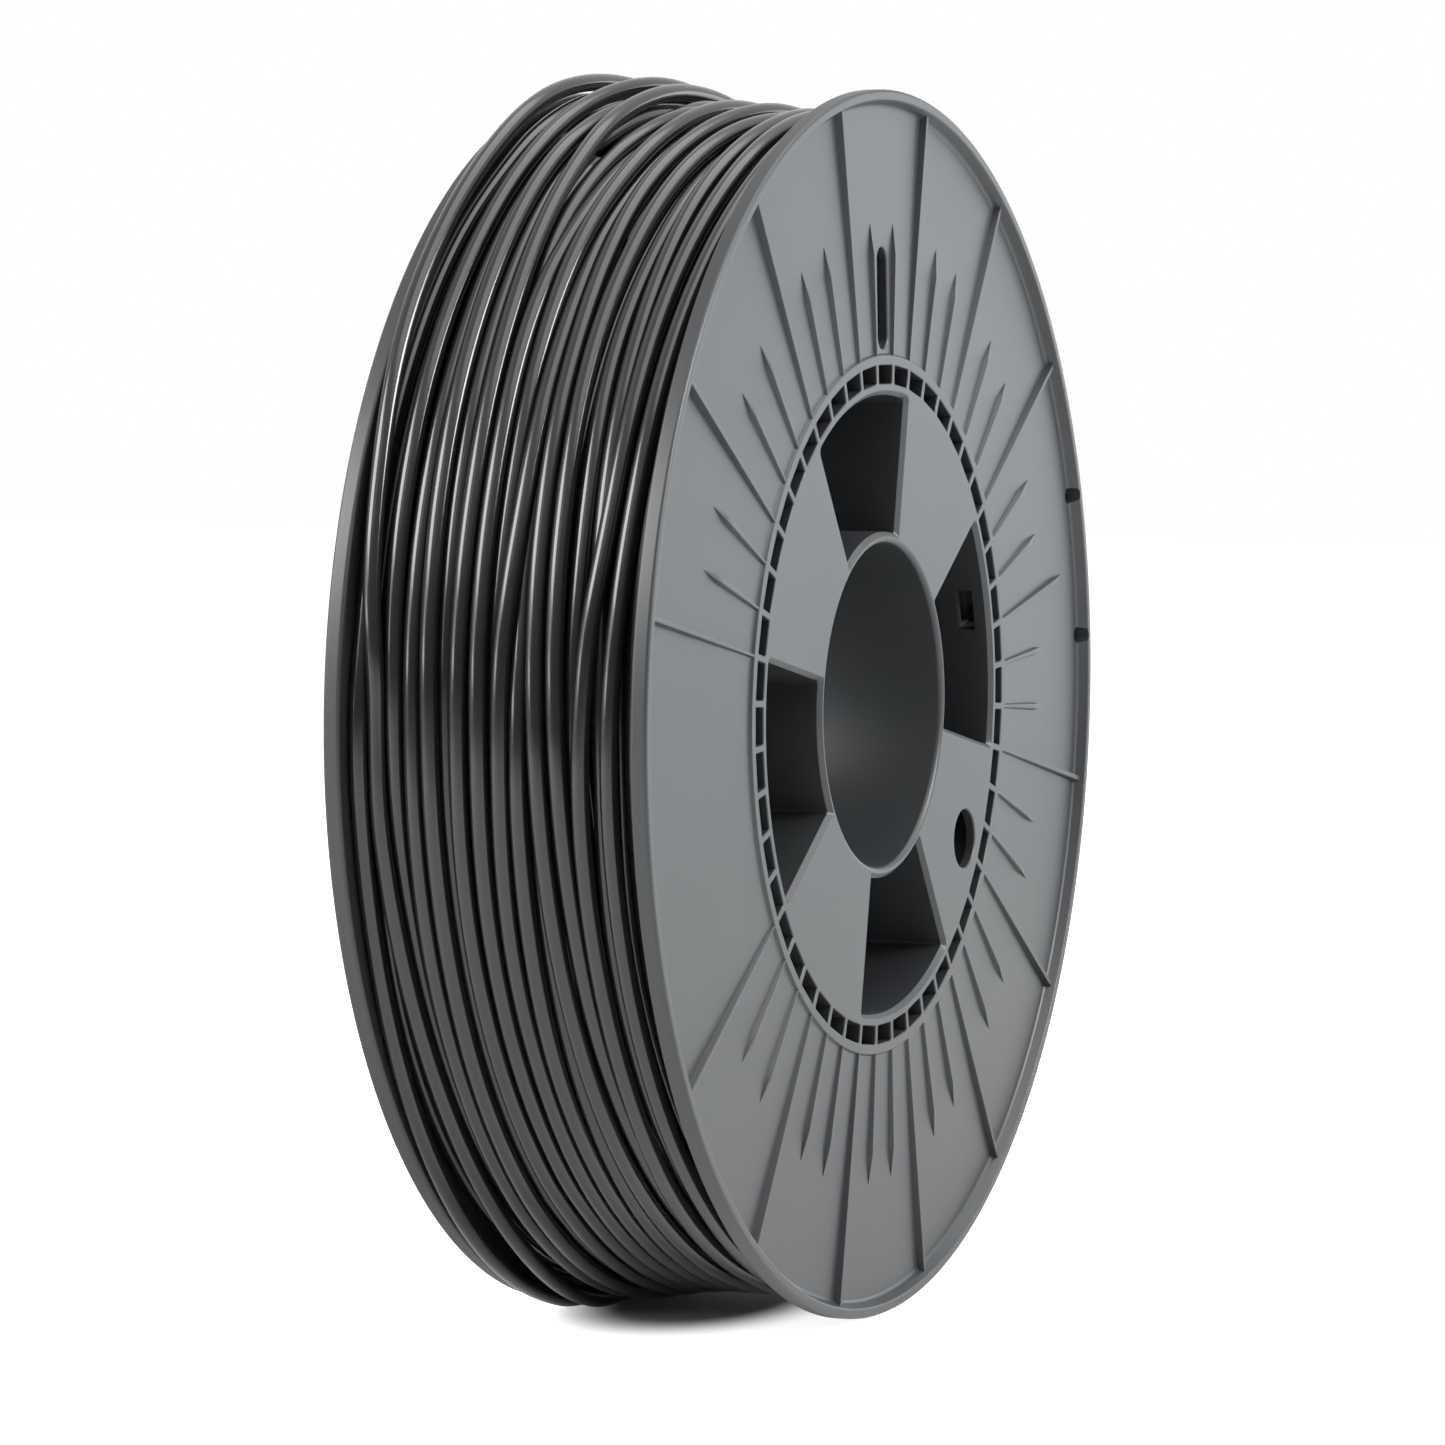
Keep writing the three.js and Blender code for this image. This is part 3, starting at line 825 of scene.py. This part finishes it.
studio = {
    "floorHalf": 3,  # half of its side, in metres
    "floorColour": (0.88, 0.88, 0.88),
    "floorRoughness": 0.7,
    "floorGlow": 0.9,  # of the floor where the camera sees it, away from where the spool stands
    "floorSheen": 0.1,  # the same, where shiny things show it
    "standing": (42 * mm, 24 * mm),  # half length and half width of the place that it stands on
    "standingY": 6 * mm,
    "standingFade": (0.5, 1.05),  # the glow starts and is full here, as shares of that place
    "wall": 0.22,  # of the surroundings, as light
    "room": 0.22,  # of the darker side of the room, as shiny things show it
    "roomFade": (0.1, 0.8),  # heights between which the room turns into the white ceiling
    "sweep": (0.92, 0.39, 0),  # towards the white backdrop, away from the darker side
    "sweepFade": (-0.4, 0.4),
    "lamps": [
        # name, azimuth from -X towards +Y, elevation, distance, size in metres, radiance, colour
        ("right softbox", -162, 1, 1.20, (1.10, 0.50), 1.88, (0.90, 0.97, 1.0)),
        ("front softbox", -99, 27, 1.15, (0.50, 0.38), 27.0, (1.0, 1.0, 1.0)),
        ("left softbox", 40, 30, 1.15, (0.75, 0.50), 13.0, (1.0, 0.99, 0.97)),
        ("left window", 44, 12, 1.10, (0.45, 0.17), 3.5, (0.82, 0.92, 1.0)),
        ("low window", 44, 5, 1.10, (0.45, 0.07), 13.0, (0.82, 0.92, 1.0)),
        ("left fill", 55, 6, 1.20, (1.10, 0.40), 0.45, (0.85, 0.93, 1.0)),
        ("warm lamp", -5, 34, 1.10, (0.12, 0.30), 4.0, (1.0, 0.72, 0.45)),
        ("overhead softbox", -105, 70, 1.15, (1.60, 1.00), 2.6, (1.0, 1.0, 1.0)),
    ],
}


# The kinds of ray that show a surface, as Light Path tells them: from the camera, off shiny things, and
# through glass.
def seenRays(tree):
    rays = tree.nodes.new("ShaderNodeLightPath")
    return [Wire(tree, rays.outputs[f"Is {kind} Ray"]) for kind in ("Camera", "Glossy", "Transmission")]


# The glow leaves out an oval that the spool stands in, so that its shadow stays.
def addFloor():
    half = studio["floorHalf"]
    sides = ((-half, -half), (half, -half), (half, half), (-half, half))
    floor = addPiece("floor", np.array([(x, y, floorZ) for x, y in sides]), [[0, 1, 2, 3]])
    material, shader, place = newMaterial("white studio floor")
    shader.inputs["Base Color"].default_value = (*studio["floorColour"], 1)
    shader.inputs["Roughness"].default_value = studio["floorRoughness"]
    shader.inputs["Specular IOR Level"].default_value = 0.2
    shader.inputs["Emission Strength"].default_value = 1
    camera, glossy, transmission = seenRays(place.tree)
    middle = (0, studio["standingY"], 0)
    scale = (1 / studio["standing"][0], 1 / studio["standing"][1], 0)
    away = place.node("ShaderNodeVectorMath", {"operation": "SUBTRACT"}, _0=place, _1=middle)
    away = place.node("ShaderNodeVectorMath", {"operation": "MULTIPLY"}, _0=away, _1=scale)
    distance = place.node("ShaderNodeVectorMath", {"operation": "LENGTH"}, output=1, _0=away)
    shown = camera * studio["floorGlow"] + (glossy + transmission) * studio["floorSheen"]
    glow = shown * distance.ramp(*studio["standingFade"])
    glow.mixed((0, 0, 0), (1, 1, 1)).into(shader, "Emission Color")
    floor.data.materials.append(material)


# White where the camera sees it. Shiny things show a white backdrop, a white ceiling and a darker room
# opposite.
def addWorld():
    world = bpy.data.worlds.new("white studio")
    world.use_nodes = True
    bpy.context.scene.world = world
    tree = world.node_tree
    camera, glossy, transmission = seenRays(tree)
    towards = Wire(tree, tree.nodes.new("ShaderNodeTexCoord").outputs["Generated"])
    height = towards.node("ShaderNodeSeparateXYZ", output=2, _0=towards)
    settings = {"operation": "DOT_PRODUCT"}
    beyond = towards.node("ShaderNodeVectorMath", settings, output=1, _0=towards, _1=studio["sweep"])
    dark = (1 - height.ramp(*studio["roomFade"])) * (1 - beyond.ramp(*studio["sweepFade"]))
    shown, wall = 1 - dark * (1 - studio["room"]), studio["wall"]
    light = wall + camera * (1 - wall) + (glossy + transmission) * (shown - wall)
    light.mixed((0, 0, 0), (1, 1, 1)).into(tree.nodes["Background"], "Color")


def addLamp(name, azimuth, elevation, distance, size, radiance, colour):
    lamp = bpy.data.lights.new(name, "AREA")
    lamp.shape = "RECTANGLE"
    lamp.size, lamp.size_y = size
    lamp.energy = radiance * pi * size[0] * size[1]
    lamp.color = colour
    a, e = radians(azimuth), radians(elevation)
    away = Vector((-cos(a) * cos(e), sin(a) * cos(e), sin(e)))
    holder = bpy.data.objects.new(name, lamp)
    holder.location = away * distance
    holder.rotation_euler = away.to_track_quat("Z", "Y").to_euler()
    holder.visible_camera = False
    bpy.context.scene.collection.objects.link(holder)


cameraView = {
    "place": (-0.92796, -0.38498, 0.06773),
    "azimuth": -67.3215,
    "elevation": 4.0596,
    "lens": 152.11,  # mm on a 36 mm sensor
}


def addCamera():
    a, e = radians(cameraView["azimuth"]), radians(cameraView["elevation"])
    back = Vector((sin(a) * cos(e), -cos(a) * cos(e), sin(e)))
    lens = bpy.data.cameras.new("camera")
    lens.lens = cameraView["lens"]
    lens.sensor_width = 36
    lens.clip_start = 0.01
    camera = bpy.data.objects.new("camera", lens)
    camera.location = cameraView["place"]
    camera.rotation_euler = back.to_track_quat("Z", "Y").to_euler()
    bpy.context.scene.collection.objects.link(camera)
    bpy.context.scene.camera = camera


addCamera()
addFloor()
addWorld()
for lampRow in studio["lamps"]:
    addLamp(*lampRow)
print("studio ready")

spoolHalves(spoolPlastic())
woundFilament(filamentPlastic())

bpy.context.scene.view_settings.view_transform = "Standard"
